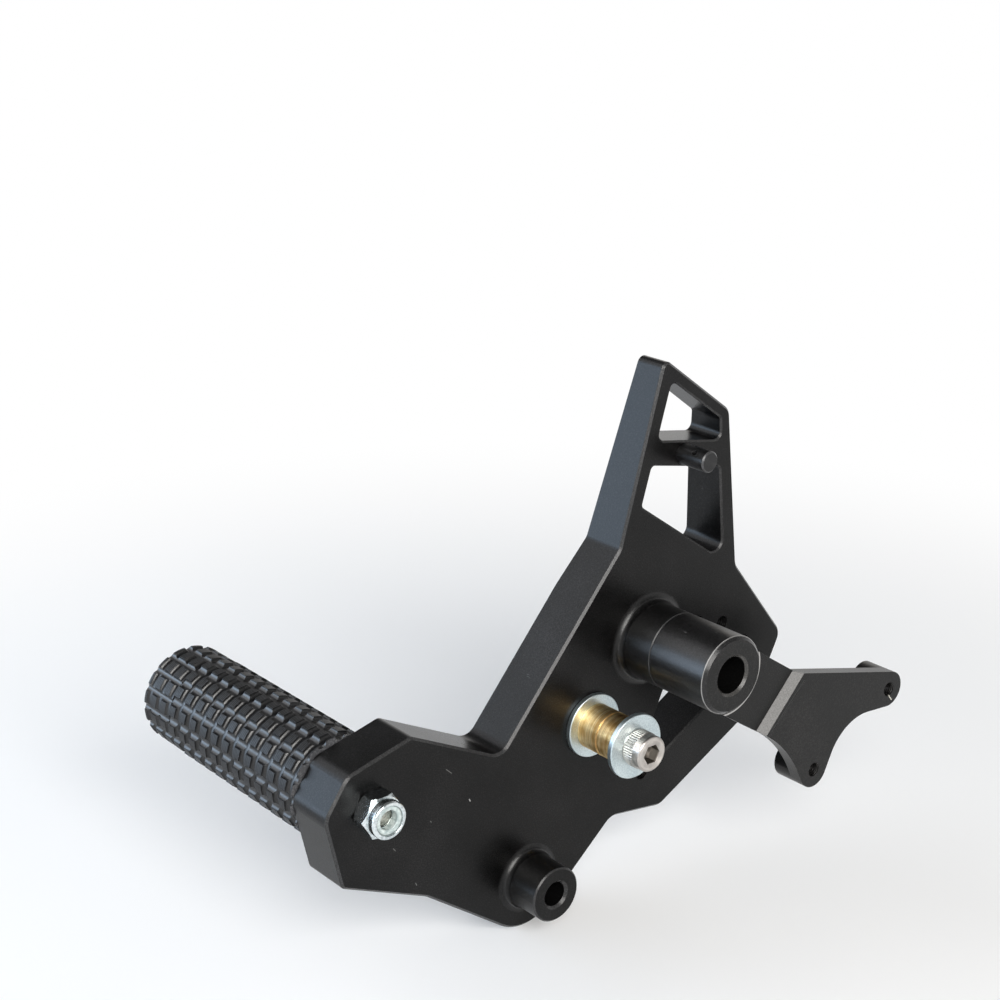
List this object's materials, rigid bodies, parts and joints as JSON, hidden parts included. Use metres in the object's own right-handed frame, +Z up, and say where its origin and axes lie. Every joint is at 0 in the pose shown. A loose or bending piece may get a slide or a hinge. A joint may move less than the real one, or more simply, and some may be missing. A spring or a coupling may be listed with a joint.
{
  "type": "rear-set motorcycle footrest",
  "caption": "Right-hand rear-set footrest: windowed side plate with frame bosses, knurled peg, brake lever pivot, spring post and a turning master cylinder bracket.",
  "frame": {"origin": "on the axis of the upper frame bolt, in the inboard face of the side plate", "axes": "+X forward on the motorcycle, +Y inboard, +Z up; the peg runs outboard along -Y"},
  "size_m": [0.1789, 0.1233, 0.1519],
  "materials": {
    "plate_black": "satin black anodised",
    "bracket_black": "satin black anodised",
    "peg_black": "satin black anodised",
    "zinc_steel": "bright zinc",
    "stainless": "plain stainless",
    "brass": "turned",
    "nylon": "translucent white"
  },
  "bodies": {
    "plate": {"side_plate": "plate_black", "footpeg": "peg_black", "peg_end_piece": "peg_black", "peg_bolt": "zinc_steel", "peg_lock_nut": "zinc_steel", "lock_nut_insert": "nylon", "inner_pivot_washer": "zinc_steel", "pivot_bush": "brass", "outer_pivot_washer": "zinc_steel", "pivot_screw": "stainless", "spring_post": "bracket_black"},
    "cylinder_bracket": {"master_cylinder_bracket": "bracket_black"}
  },
  "joints": [
    {"name": "bracket_turn", "type": "hinge", "parent": "plate", "child": "cylinder_bracket", "pos_m": [0, 0.0145, 0], "axis": [0, 1, 0], "range_deg": [-40, 40]}
  ]
}
